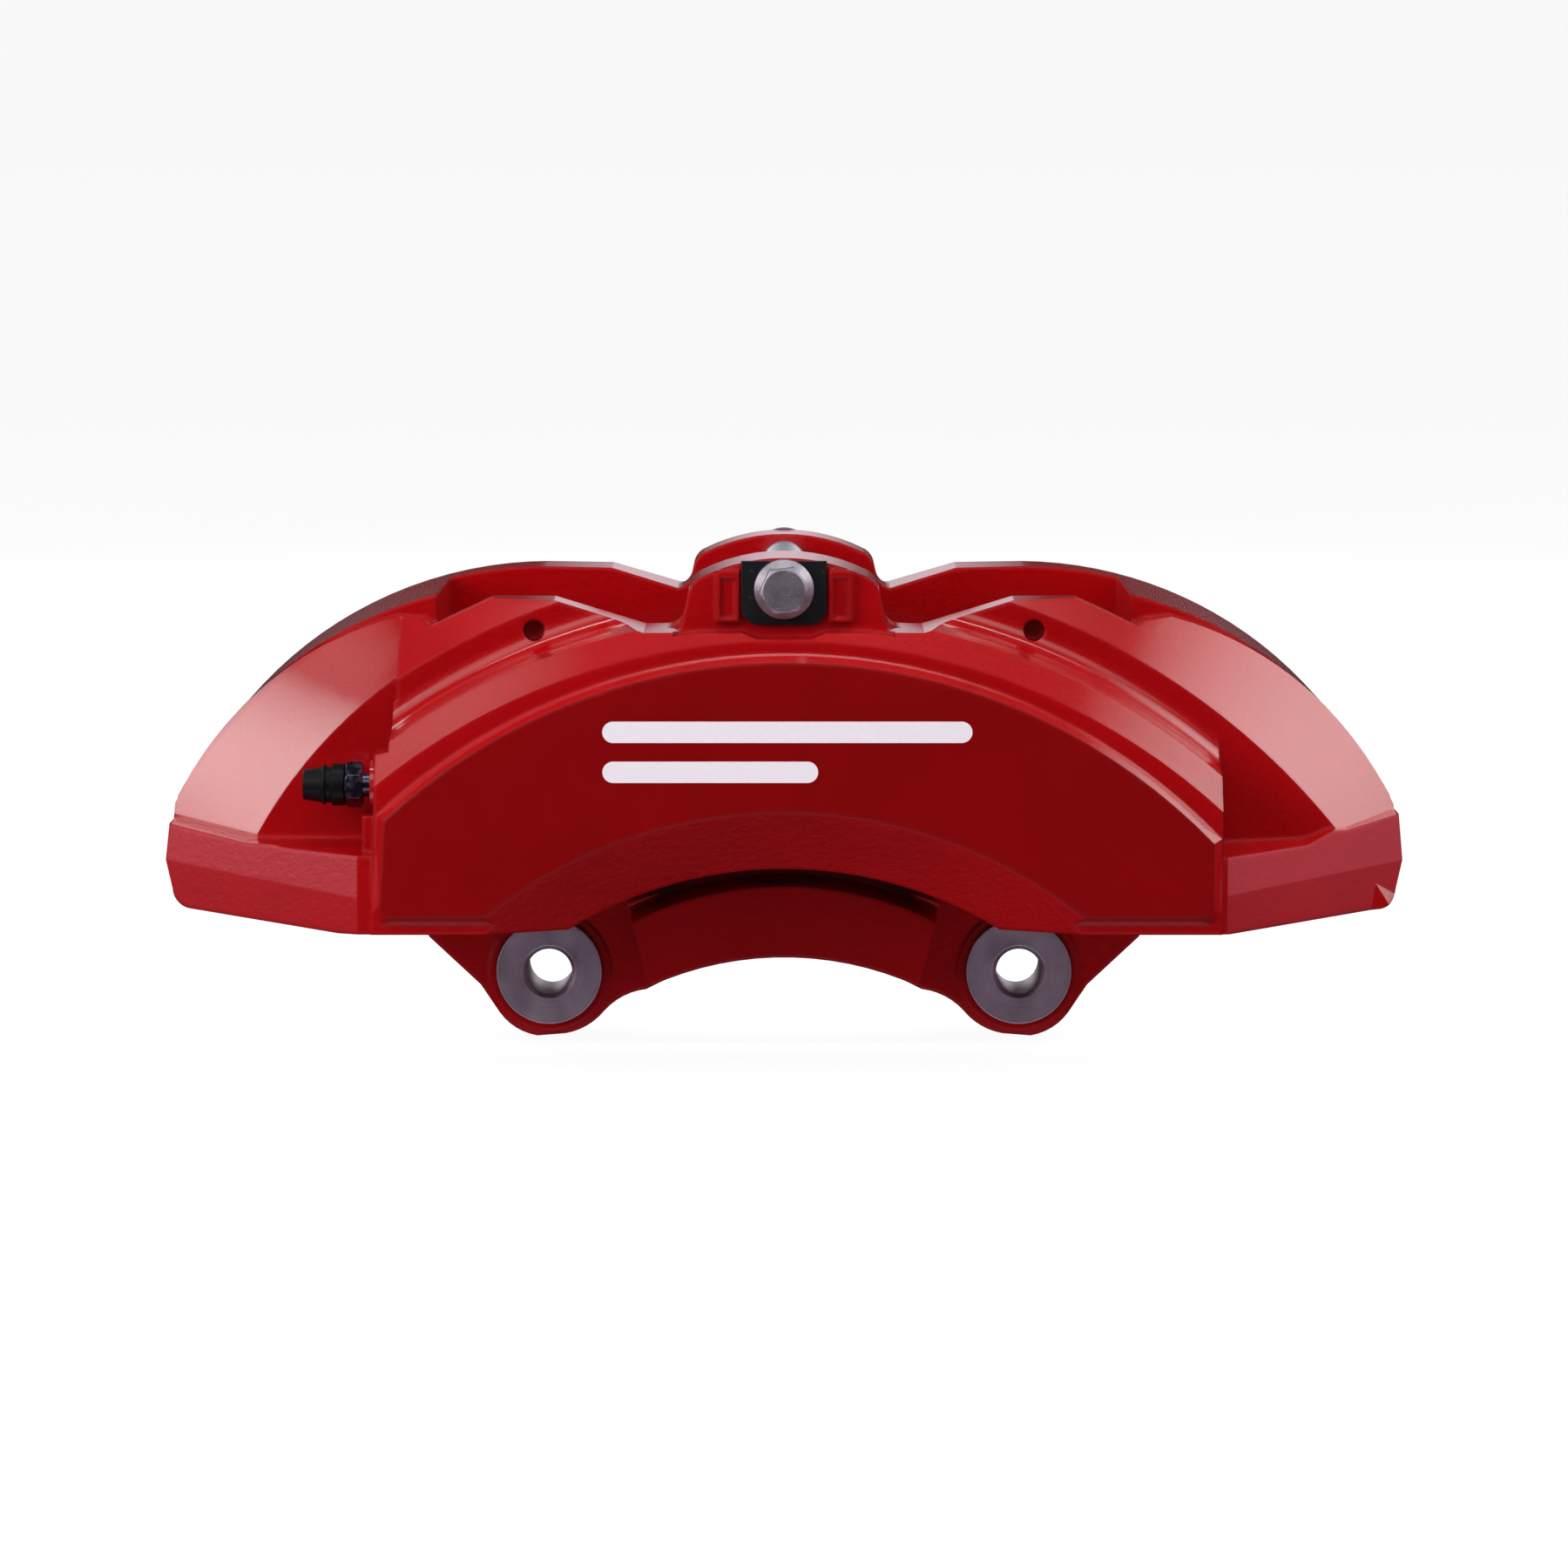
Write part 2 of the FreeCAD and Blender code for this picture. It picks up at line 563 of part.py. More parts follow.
def caliper_body():
    solids = [
        outboard_base(),
        front_panel(),
        end_block(-1, STEP_X + 1, 128.0, [(-119.0, 50.8), (-150.0, 51.2), (-163.0, 53.4)], 58.0),
        end_block(1, SIDE_RIGHT, 133.0, [(128.0, 50.2), (158.0, 51.6), (170.5, 57.0)], 61.0),
        outboard_boss(),
        end_bridges(),
        inboard_half(),
        lug_plate(),
        bleed_boss(BLEED_OUT_Y, STEP_X + 2, BLEED_FACE_X),
        rod_x(BLEED_IN_Y, BLEED_Z, 8.5, BLEED_FACE_X, -70.0),
        rod_y(HOSE_X, HOSE_Z, INSERT_R + 3.5, IN_WALL_Y + 5, HOSE_FACE_Y),
        rod_y(CROSSOVER_X, CROSSOVER_Z, PLUG_R + 3.5, IN_WALL_Y + 5, PLUG_SEAT_Y + 12.0),
        inboard_abutments(),
    ]
    whole = clean(all_of(solids))
    slot_low, slot_high = DISC_MID_Y - DISC_SLOT_HALF, DISC_MID_Y + DISC_SLOT_HALF
    cuts = [
        rod_y(0, DISC_AXIS_Z, DISC_CLEAR_R, slot_low, slot_high),
        box((-POCKET_HALF, POCKET_HALF), (OUT_WALL_Y, LUG_FRONT_Y - 16), (-40.0, 112.0)),
        box((-POCKET_HALF, POCKET_HALF), (LUG_FRONT_Y - 17, IN_WALL_Y), (29.4, 112.0)),
        box((-WINDOW_HALF, WINDOW_HALF), (OUT_WALL_Y, IN_WALL_Y), (100.0, 160.0)),
        rod_y(0, BOLT_Z, BOLT_R + 0.2, FRONT_Y, BACK_Y),
        rod_y(0, BOLT_Z, 11.5, BOLT_BACK_Y, BACK_Y),
        box((-11.5, 11.5), (BOLT_BACK_Y, BACK_Y), (BOLT_Z, BOLT_Z + 20)),
        seat_plate_gap(),
    ]
    for side in (-1, 1):
        x = side * MOUNT_HALF
        cuts.append(rod_y(x, 0, BUSH_BODY_R, LUG_FRONT_Y - 5, 1))
        cuts.append(rod_y(x, 0, BUSH_FLANGE_R, LUG_FRONT_Y - 5, LUG_FRONT_Y + 1.2))
        pin = side * PIN_X
        cuts.append(rod_y(pin, PIN_Z, PIN_R + 0.1, OUT_WALL_Y - 8.5, OUT_WALL_Y + 1))
        cuts.append(rod_y(pin, PIN_Z, PIN_R + 0.1, IN_WALL_Y - 1, BACK_Y))
        cuts.append(rod_y(pin, PIN_Z, 5.6, -13.0, BACK_Y))
        cuts.append(rod_y(pin, DIMPLE_Z, DIMPLE_R, FLOOR_Y - COVE_R, FLOOR_Y + 5))
    cuts += cylinder_cuts() + gallery_cuts() + bleed_cuts(BLEED_OUT_Y) + bleed_cuts(BLEED_IN_Y)
    return whole.cut(cuts)


# ---- Mounting, tie bolt, hydraulics -------------------------------------------------------------
def mount_bush(side):
    """Flanged steel bush pressed into a lug; its far end is flush with the mounting face."""
    x = side * MOUNT_HALF
    front = LUG_FRONT_Y + 1.2 - BUSH_FLANGE_T
    bush = rod_y(x, 0, BUSH_BODY_R, front, 0.0).fuse(rod_y(x, 0, BUSH_FLANGE_R, front, LUG_FRONT_Y + 1.2))
    lead = Part.makeCone(MOUNT_R + 1.2, MOUNT_R, 1.2, V(x, front, 0), V(0, 1, 0))
    return clean(bush.cut([rod_y(x, 0, MOUNT_R, front - 1, 1), lead]))


PLATE_Y = BOLT_BOSS_Y - 1.8                # face of the plate under the tie bolt's head
HEX_FLATS, HEX_H = 13.0, 8.0               # hexagon of an M8 flange bolt or nut, and its height
SPACER_R = 7.0


def bolt_seat_plate():
    """Black plate under the tie bolt's head, with rounded lower corners."""
    half, low, high, corner = 12.8, 120.2, 139.4, 5.5
    cut = corner * (1 - math.sqrt(0.5))
    plate = prism(
        [
            (-half, high), (half, high), (half, low + corner),
            ((half - cut, low + cut), (half - corner, low)),
            (-half + corner, low),
            ((-half + cut, low + cut), (-half, low + corner)),
        ],
        PLATE_Y, BOLT_BOSS_Y,
    )
    return plate.cut(rod_y(0, BOLT_Z, BOLT_R + 0.2, PLATE_Y - 1, BOLT_BOSS_Y + 1))


def flanged_hex(y_seat, way, flange_r, turn):
    """M8 hex head or nut with a conical flange, standing on y_seat and pointing along way."""
    low, high = sorted((y_seat, y_seat + way * HEX_H))
    corner_r, chamfer, rim = HEX_FLATS / math.sqrt(3), 0.8, 1.4
    crown = hexagon_y(0, BOLT_Z, HEX_FLATS, low, high, turn)
    crown_y = y_seat + way * (HEX_H - chamfer)
    turned = Part.makeCone(corner_r, corner_r - 1.6 * chamfer, chamfer, V(0, crown_y, BOLT_Z), V(0, way, 0))
    keep = rod_y(0, BOLT_Z, corner_r, *sorted((y_seat, crown_y))).fuse(turned)
    flange = Part.makeCylinder(flange_r, rim, V(0, y_seat, BOLT_Z), V(0, way, 0)).fuse(
        Part.makeCone(flange_r, HEX_FLATS / 2, 2.0, V(0, y_seat + way * rim, BOLT_Z), V(0, way, 0)))
    return flange.fuse(crown.common(keep))


def tie_bolt():
    head = flanged_hex(PLATE_Y, -1, 8.95, 24.0)
    shank = rod_y(0, BOLT_Z, BOLT_R, PLATE_Y, BOLT_BACK_Y + HEX_H + 2.5)
    return clean(head.fuse(shank))


def tie_bolt_spacer():
    return rod_y(0, BOLT_Z, SPACER_R, OUT_WALL_Y, IN_WALL_Y).cut(
        rod_y(0, BOLT_Z, BOLT_R + 0.1, OUT_WALL_Y - 1, IN_WALL_Y + 1))


def tie_bolt_nut():
    nut = flanged_hex(BOLT_BACK_Y, 1, 9.8, 0.0)
    return clean(nut.cut(rod_y(0, BOLT_Z, BOLT_R, BOLT_BACK_Y - 1, BOLT_BACK_Y + HEX_H + 1)))


NIPPLE_R, BARB_R = 3.0, 3.25
NIPPLE_LENGTH = 9.5
HEX_NEAR, HEX_FAR = 2.4, 7.5               # hexagon of a bleed screw, measured out from its face
CAP_BORE_R = BARB_R + 0.05                 # the cap slides on the barb
CAP_GAP = 0.3


def bleed_screw(y):
    """Hollow screw: conical tip on its seat, thread, hexagon, then the hose nipple under the cap."""
    z, face_x = BLEED_Z, BLEED_FACE_X
    thread_r, tip_r, chamfer = BLEED_HOLE_R - 0.1, 1.6, 1.0
    shoulder_x = BLEED_SEAT_X - 1.0
    thread = rod_x(y, z, thread_r, face_x, shoulder_x)
    tip = Part.makeCone(thread_r, tip_r, thread_r - tip_r, V(shoulder_x, y, z), V(1, 0, 0))
    neck = rod_x(y, z, thread_r - 1.3, face_x - HEX_NEAR, face_x)
    near_x, far_x = face_x - HEX_NEAR, face_x - HEX_FAR
    flats, corner_r = 12.0, 7.2
    barrel = Part.makeCone(corner_r - chamfer, corner_r, chamfer, V(far_x, y, z), V(1, 0, 0)).fuse([
        rod_x(y, z, corner_r, far_x + chamfer, near_x - chamfer),
        Part.makeCone(corner_r, corner_r - chamfer, chamfer, V(near_x - chamfer, y, z), V(1, 0, 0)),
    ])
    hexagon = hexagon_x(y, z, flats, far_x, near_x).common(barrel)
    end_x = far_x - NIPPLE_LENGTH
    nipple = rod_x(y, z, NIPPLE_R, end_x, far_x).fuse(
        Part.makeCone(NIPPLE_R - 0.8, BARB_R, 2.0, V(end_x, y, z), V(1, 0, 0)))
    bore = rod_x(y, z, 1.0, end_x - 1, BLEED_SEAT_X - 3.0)
    port = Part.makeCylinder(0.8, 12, V(BLEED_SEAT_X - 3.0, y - 6, z), V(0, 1, 0))
    return clean(all_of([thread, tip, neck, hexagon, nipple]).cut([bore, port]))


def bleed_cap(y):
    """Rubber cap pushed over the nipple: a flange, a waist, a bead and a tapered nose."""
    z, mouth = BLEED_Z, BLEED_FACE_X - HEX_FAR - CAP_GAP
    profile = [                # radius and distance from the mouth
        (0.0, 12.6), (4.2, 12.6), ((4.5, 12.4), (4.6, 12.1)),
        (5.5, 6.9), (5.9, 6.7), ((6.1, 6.3), (5.9, 5.9)),
        (5.5, 5.6), (5.5, 3.9), (6.4, 3.7), (6.4, 0.2),
        (6.2, 0.0), (CAP_BORE_R, 0.0), (CAP_BORE_R, 10.0), (CAP_BORE_R - 1.0, 10.6), (0.0, 10.6),
    ]
    flat = face(profile, lambda p: V(mouth - p[1], y, z + p[0]))
    return flat.revolve(V(0, y, z), V(1, 0, 0), 360)


def gallery_plug():
    """Socket-head plug that closes the drilled crossover passage."""
    plug = rod_y(CROSSOVER_X, CROSSOVER_Z, PLUG_R - 0.05, PLUG_SEAT_Y + 0.1, PLUG_SEAT_Y + 10.0)
    return plug.cut(hexagon_y(CROSSOVER_X, CROSSOVER_Z, 5.0, PLUG_SEAT_Y + 6.0, PLUG_SEAT_Y + 11.0))


def hose_port_insert():
    """Threaded steel insert that takes the brake hose's end."""
    port_floor = HOSE_FACE_Y - HOSE_DEPTH
    return rod_y(HOSE_X, HOSE_Z, INSERT_R, port_floor, HOSE_FACE_Y).cut(
        rod_y(HOSE_X, HOSE_Z, HOSE_R, port_floor - 1, HOSE_FACE_Y + 1))


def piston(x, radius, wall, way):
    """Cup that opens towards the pad, with a lead at its inner end and a groove for the boot lip."""
    z = cylinder_height(x)
    r = radius - PISTON_GAP
    crown = wall - way * PISTON_PROUD
    foot = crown + way * PISTON_LENGTH
    profile = [
        (0.0, foot), (r - 1.5, foot), (r, foot - way * 1.5), (r, crown + way * 5.6),
        (r - 0.8, crown + way * 5.2), (r - 0.8, crown + way * 3.2), (r, crown + way * 2.8),
        (r, crown + way * 0.6), (r - 0.6, crown), (r - 3.6, crown), (r - 4.2, crown + way * 0.6),
        (r - 4.2, foot - way * 7.0), (r - 7.2, foot - way * 4.5), (0.0, foot - way * 4.5),
    ]
    flat = face(profile, lambda p: V(x + p[0], p[1], z))
    return flat.revolve(V(x, 0, z), V(0, 1, 0), 360)


def fluid_seal(x, radius, wall, way):
    """Square-section ring in its groove."""
    z = cylinder_height(x)
    low, high = sorted((wall + way * 9.3, wall + way * 12.3))
    return rod_y(x, z, radius + 2.9, low, high).cut(rod_y(x, z, radius, low - 1, high + 1))


def dust_seal(x, radius, wall, way):
    """Wiper ring at the mouth of the bore, with a lip that leans over the piston."""
    z = cylinder_height(x)
    r = radius
    profile = [
        (r, wall + way * 3.1), (r + 1.95, wall + way * 3.1), (r + 1.95, wall - way * 0.3),
        (r + 1.2, wall - way * 1.0), (r + 0.4, wall - way * 0.4), (r, wall + way * 0.4),
    ]
    flat = face(profile, lambda p: V(x + p[0], p[1], z))
    return flat.revolve(V(x, 0, z), V(0, 1, 0), 360)


# ---- Pads and what holds them -------------------------------------------------------------------
PAD_HALF = POCKET_HALF - 1.6
PAD_TOP_R = DISC_R - 2.5
PAD_FOOT_R = 134.0


def pad_outline(half, top_r, foot_r, ears):
    """Arched pad shape; the ears rise round the pad pins."""
    top = [(0.0, disc_height(0.0, top_r))]
    if ears:
        low, high = PIN_X - 9.0, PIN_X + 8.5
        top += [
            ((30.0, disc_height(30.0, top_r)), (60.0, disc_height(60.0, top_r))),
            (low, PIN_Z + 4.5),
            ((PIN_X, PIN_Z + 6.4), (high, PIN_Z + 2.0)),
            (half, PIN_Z - 8.0),
        ]
    else:
        top += [((half * 0.52, disc_height(half * 0.52, top_r)), (half, disc_height(half, top_r)))]
    right = top + [
        (half, 50.0),
        (half - 12.0, disc_height(half - 12.0, foot_r) + 4.0),
        ((half * 0.45, disc_height(half * 0.45, foot_r)), (0.0, disc_height(0.0, foot_r))),
    ]
    return mirror_path(right)


def pad_face(wall, way):
    """Back of the pad's shim, just clear of the piston crowns."""
    return wall - way * (PISTON_PROUD + CONTACT_GAP)


def slab(outline, near, way, thick):
    """Prism from near, going thick towards the disc."""
    low, high = sorted((near, near - way * thick))
    return prism(outline, low, high)


def pad_shim(wall, way):
    near = pad_face(wall, way)
    plate = slab(pad_outline(PAD_HALF - 8.0, PAD_TOP_R - 3, PAD_FOOT_R + 3, False), near, way, SHIM_T)
    slots = [box((x - 3, x + 3), (near - 2, near + 2), (96.0, 103.0)) for x in (-40.0, 40.0)]
    return plate.cut(slots)


def pad_plate(wall, way):
    near = pad_face(wall, way) - way * SHIM_T
    plate = slab(pad_outline(PAD_HALF, PAD_TOP_R, PAD_FOOT_R, True), near, way, PLATE_T)
    holes = [rod_y(side * PIN_X, PIN_Z, PIN_R + 0.9, near - 9, near + 9) for side in (-1, 1)]
    return plate.cut(holes)


def pad_lining(wall, way):
    """Friction block with a centre slot and a bevel at each end."""
    near = pad_face(wall, way) - way * (SHIM_T + PLATE_T)
    block = slab(pad_outline(PAD_HALF - 6.0, PAD_TOP_R - 1.5, PAD_FOOT_R + 1.5, False), near, way, LINING_T)
    front = near - way * LINING_T
    slot = box((-1.6, 1.6), sorted((front - way, front + way * 7.5)), (20.0, 140.0))
    bevels = []
    for side in (-1, 1):
        outer = side * (PAD_HALF - 5.0)
        bevels.append(Part.Face(Part.makePolygon([
            V(outer, front + way * 5.0, 0), V(outer - side * 12.0, front, 0),
            V(outer - side * 12.0, front - way, 0), V(outer + side * 2, front - way, 0),
            V(outer + side * 2, front + way * 5.0, 0), V(outer, front + way * 5.0, 0),
        ])).extrude(V(0, 0, 150)))
    return block.cut([slot] + bevels)


def pad_pin(side):
    """Screwed pin that the pads slide on; its socket head sits in a counterbore at the back."""
    x = side * PIN_X
    pin = rod_y(x, PIN_Z, PIN_R, OUT_WALL_Y - 8.0, -13.0)
    head = rod_y(x, PIN_Z, 5.5, -13.0, -7.5).cut(hexagon_y(x, PIN_Z, 5.0, -10.5, -7.0))
    return clean(pin.fuse(head))


def pad_spring():
    """Leaf spring under the spacer: a saddle over the disc and two arms down to the pads' tops."""
    gauge = 0.8
    arm_low = disc_height(0.0, PAD_TOP_R) + 0.35
    crest = BOLT_Z - SPACER_R - 0.4 - gauge
    near, far = OUT_WALL_Y, IN_WALL_Y
    path = [
        (near, arm_low + 3.0), (near + 3, arm_low), (near + 9, arm_low), (near + 15, crest),
        (far - 15, crest), (far - 9, arm_low), (far - 3, arm_low), (far, arm_low + 3.0),
    ]
    over = [(y, z + gauge) for y, z in reversed(path)]
    flat = face(path + over, lambda p: V(-24.0, p[0], p[1]))
    leaf = flat.extrude(V(48.0, 0, 0))
    waist = [box((x - 5, x + 5), (-80.0, -50.0), (118.0, 130.0)) for x in (-13.0, 13.0)]
    return leaf.cut(waist)


def abutment_plates(wall, way):
    """Pair of thin stainless plates that line the abutments, folded round their inner edge."""
    face_y = DISC_MID_Y + way * DISC_SLOT_HALF
    made = []
    for side in (-1, 1):
        inner, outer = sorted((side * (POCKET_HALF - 0.9), side * (POCKET_HALF - 0.1)))
        low, high = sorted((face_y, wall - way * 0.4))
        upright = box((inner, outer), (low, high), (54.0, 98.0))
        fold_x = sorted((side * (POCKET_HALF - 0.9), side * (POCKET_HALF + 5.0)))
        fold = box(fold_x, sorted((face_y - way * 0.1, face_y - way * 0.8)), (60.0, 92.0))
        tie = box((inner, outer), sorted((face_y - way * 0.8, face_y)), (60.0, 92.0))
        made.append(clean(upright.fuse([tie, fold])))
    return Part.makeCompound(made)


# ---- Export -------------------------------------------------------------------------------------
def nodes():
    made = {
        "caliper_body": caliper_body(),
        "mount_bush_left": mount_bush(-1),
        "mount_bush_right": mount_bush(1),
        "tie_bolt": tie_bolt(),
        "tie_bolt_seat_plate": bolt_seat_plate(),
        "tie_bolt_spacer": tie_bolt_spacer(),
        "tie_bolt_nut": tie_bolt_nut(),
        "bleed_screw_outboard": bleed_screw(BLEED_OUT_Y),
        "bleed_screw_inboard": bleed_screw(BLEED_IN_Y),
        "bleed_cap_outboard": bleed_cap(BLEED_OUT_Y),
        "bleed_cap_inboard": bleed_cap(BLEED_IN_Y),
        "gallery_plug": gallery_plug(),
        "hose_port_insert": hose_port_insert(),
        "pad_pin_left": pad_pin(-1),
        "pad_pin_right": pad_pin(1),
        "pad_spring": pad_spring(),
    }
    for half, wall, way in (("outboard", OUT_WALL_Y, -1), ("inboard", IN_WALL_Y, 1)):
        made[f"{half}_abutment_plates"] = abutment_plates(wall, way)
        made[f"{half}_pad_shim"] = pad_shim(wall, way)
        made[f"{half}_pad_backing_plate"] = pad_plate(wall, way)
        made[f"{half}_pad_lining"] = pad_lining(wall, way)
        for name, x, radius in CYLINDERS:
            made[f"{half}_{name}_piston"] = piston(x, radius, wall, way)
            made[f"{half}_{name}_fluid_seal"] = fluid_seal(x, radius, wall, way)
            made[f"{half}_{name}_dust_seal"] = dust_seal(x, radius, wall, way)
    return made


def main():
    os.makedirs("parts", exist_ok=True)
    for name, shape in nodes().items():
        if not shape.isValid() or not shape.Solids:
            print("INVALID", name, shape.ShapeType, len(shape.Solids))
        shape.exportStep(f"parts/{name}.step")
        print(f"{name}: {len(shape.Solids)} solid(s), {shape.Volume / 1000:.1f} cm3")


main()
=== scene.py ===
"""Looks of the brake caliper: lacquered casting, plated steel, rubber, and a plain pale studio."""
import json
import math

import bpy
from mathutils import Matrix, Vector

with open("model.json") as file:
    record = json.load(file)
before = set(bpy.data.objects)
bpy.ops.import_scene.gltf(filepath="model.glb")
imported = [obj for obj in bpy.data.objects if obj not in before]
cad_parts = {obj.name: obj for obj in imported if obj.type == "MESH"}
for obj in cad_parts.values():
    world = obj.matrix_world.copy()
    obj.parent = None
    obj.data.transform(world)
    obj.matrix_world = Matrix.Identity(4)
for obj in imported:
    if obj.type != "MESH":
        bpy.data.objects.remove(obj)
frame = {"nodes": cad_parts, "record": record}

MM = 0.001
FRONT_Y = -143.0 * MM              # face of the raised panel
MOUNT_HALF = 75.0 * MM             # the bushes' distance from the middle

# Camera and studio.
TARGET = Vector((0.0, FRONT_Y, 73.5 * MM))
CAMERA_DISTANCE = 1.75
CAMERA_ELEVATION = math.radians(6.5)
VIEW_WIDTH = 0.468                 # width of the view at the target
AIM = Vector((0.0, -80 * MM, 60 * MM))   # what the lights point at
FLOOR_Z = -21.4 * MM               # just under the lugs
FLOOR_R = 30.0
SURROUND_R = 29.0
BACKDROP_GLOW = 0.94               # the floor and the surround glow alike, so no horizon shows
FLOOR_ALBEDO = 0.14                # lets the caliper's faint shadow show
ROOM_COLOUR = (0.85, 0.8, 1.0, 1)
ROOM_GLOW = 0.03
WHITE = (1.0, 1.0, 1.0)
BLUSH = (1.0, 0.84, 1.0)
ROSE = (1.0, 0.6, 0.8)

# The white graphic on the panel: two bars with round ends, (centre X, centre Z, half length).
UPPER_BAR = (1 * MM, 89 * MM, 52 * MM)
LOWER_BAR = (-22 * MM, 77 * MM, 29 * MM)
BAR_RADIUS = 3.2 * MM
GRAPHIC_WHITE = (0.93, 0.90, 0.94)

# Lacquer: linear colours of the rough casting and of the smoother panel, each from dark to light; the
# panel's darker red is painted shade, as the lacquer is the same.
CAST_REDS = ((0.345, 0.0001, 0.0012), (0.395, 0.0003, 0.0022))
PANEL_PAINTED_SHADE_REDS = ((0.215, 0.0001, 0.0006), (0.245, 0.0002, 0.001))
FACE_DEPTH = 0.2 * MM              # how far behind the panel's face the darker red of painted shade and the graphic reach
GRIT_START = 2.0 * MM              # how far behind that face the casting is fully rough
CAST_EDGE = 2.0 * MM               # radius of the casting's soft edges
PEEL_DEPTH = 0.17 * MM
GRIT_DEPTH = 0.12 * MM

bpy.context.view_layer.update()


# ---- Node helpers -------------------------------------------------------------------------------
class Shader:
    """A material with a Principled shader, and short ways to add nodes to it."""

    def __init__(self, name, **sockets):
        self.material = bpy.data.materials.new(name)
        self.material.use_nodes = True
        self.tree = self.material.node_tree
        self.surface = self.tree.nodes["Principled BSDF"]
        for socket, value in sockets.items():
            self.surface.inputs[socket.replace("_", " ")].default_value = value
        self.place = self.node("ShaderNodeTexCoord").outputs["Object"]
        parts = self.node("ShaderNodeSeparateXYZ", Vector=self.place)
        self.x, self.y, self.z = parts.outputs[0], parts.outputs[1], parts.outputs[2]

    def node(self, kind, settings=None, **inputs):
        made = self.tree.nodes.new(kind)
        for key, value in (settings or {}).items():
            setattr(made, key, value)
        for name, value in inputs.items():
            self.put(made.inputs[name], value)
        return made

    def put(self, socket, value):
        """Link an output to a socket, or set the socket's own value."""
        if isinstance(value, bpy.types.NodeSocket):
            self.tree.links.new(value, socket)
        else:
            socket.default_value = value

    def math(self, operation, *values):
        made = self.node("ShaderNodeMath", {"operation": operation})
        for socket, value in zip(made.inputs, values):
            self.put(socket, value)
        return made.outputs[0]

    def noise(self, scale, detail=2.0, place=None):
        """Noise from 0 to 1 whose features are about 1 / scale metres across."""
        made = self.node("ShaderNodeTexNoise", Vector=place or self.place, Scale=scale, Detail=detail)
        return made.outputs["Fac"]

    def lines(self, along, scale):
        """Random fine lines that change only with one coordinate, as a lathe tool leaves."""
        made = self.node("ShaderNodeTexNoise", {"noise_dimensions": "1D"}, Scale=scale, Detail=3.0)
        self.put(made.inputs["W"], along)
        return made.outputs["Fac"]

    def steps(self, factor, low, high):
        """Remap a factor so that low becomes 0 and high becomes 1."""
        made = self.node("ShaderNodeMapRange", Value=factor)
        made.inputs["From Min"].default_value = low
        made.inputs["From Max"].default_value = high
        return made.outputs["Result"]

    def between(self, factor, low, high):
        """Value from low to high as the factor goes from 0 to 1."""
        made = self.node("ShaderNodeMapRange", Value=factor)
        made.inputs["To Min"].default_value = low
        made.inputs["To Max"].default_value = high
        return made.outputs["Result"]

    def mix(self, factor, first, second):
        made = self.node("ShaderNodeMix", {"data_type": "RGBA"})
        self.put(made.inputs["Factor"], factor)
        self.put(made.inputs["A"], first if isinstance(first, bpy.types.NodeSocket) else (*first, 1))
        self.put(made.inputs["B"], second if isinstance(second, bpy.types.NodeSocket) else (*second, 1))
        return made.outputs["Result"]

    def radius(self, across, up):
        """Distance from an axis, from two offsets."""
        squares = self.math("ADD", self.math("MULTIPLY", across, across), self.math("MULTIPLY", up, up))
        return self.math("SQRT", squares)

    def finish(self, colour, roughness, edge, bumps):
        """Set colour and roughness, round the edges, and add bumps of (height, depth in metres)."""
        self.put(self.surface.inputs["Base Color"], colour)
        self.put(self.surface.inputs["Roughness"], roughness)
        normal = self.node("ShaderNodeBevel", {"samples": 8}, Radius=edge).outputs["Normal"]
        for height, depth in bumps:
            bump = self.node("ShaderNodeBump", Height=height, Distance=depth, Normal=normal)
            normal = bump.outputs["Normal"]
        self.put(self.surface.inputs["Normal"], normal)
        return self.material


# ---- Materials, one for each slot ---------------------------------------------------------------
def capsule(shader, bar, radius):
    """1 inside a bar with round ends, seen from the front, and 0 outside."""
    centre_x, centre_z, half = bar
    along = shader.math("ABSOLUTE", shader.math("SUBTRACT", shader.x, centre_x))
    beyond = shader.math("MAXIMUM", shader.math("SUBTRACT", along, half), 0.0)
    up = shader.math("SUBTRACT", shader.z, centre_z)
    return shader.math("LESS_THAN", shader.radius(beyond, up), radius)


def red_paint():
    """Deep red lacquer on a casting: soft edges, orange peel, a white graphic on the panel, and painted
    shade that darkens the panel's face.
    """
    shader = Shader("red_paint", Specular_IOR_Level=0.12, Coat_Weight=1.0, Coat_Roughness=0.1)
    on_face = shader.math("LESS_THAN", shader.y, FRONT_Y + FACE_DEPTH)
    shade = shader.steps(shader.noise(scale=28.0, detail=3.0), 0.3, 0.7)
    # The panel's face gets a darker red: painted shade, since the lacquer there is the same as on the
    # casting.
    lacquer = shader.mix(on_face, shader.mix(shade, *CAST_REDS), shader.mix(shade, *PANEL_PAINTED_SHADE_REDS))
    bars = [capsule(shader, bar, BAR_RADIUS) for bar in (UPPER_BAR, LOWER_BAR)]
    graphic = shader.math("MULTIPLY", shader.math("MAXIMUM", *bars), on_face)
    colour = shader.mix(graphic, lacquer, GRAPHIC_WHITE)
    roughness = shader.between(shader.noise(scale=90.0, detail=3.0), 0.30, 0.42)
    peel = shader.noise(scale=420.0, detail=1.0)
    # The raised panel's face has no grit.
    behind_face = shader.steps(shader.y, FRONT_Y, FRONT_Y + GRIT_START)
    grit = shader.math("MULTIPLY", shader.noise(scale=1100.0, detail=2.0), behind_face)
    return shader.finish(colour, roughness, CAST_EDGE, [(peel, PEEL_DEPTH), (grit, GRIT_DEPTH)])


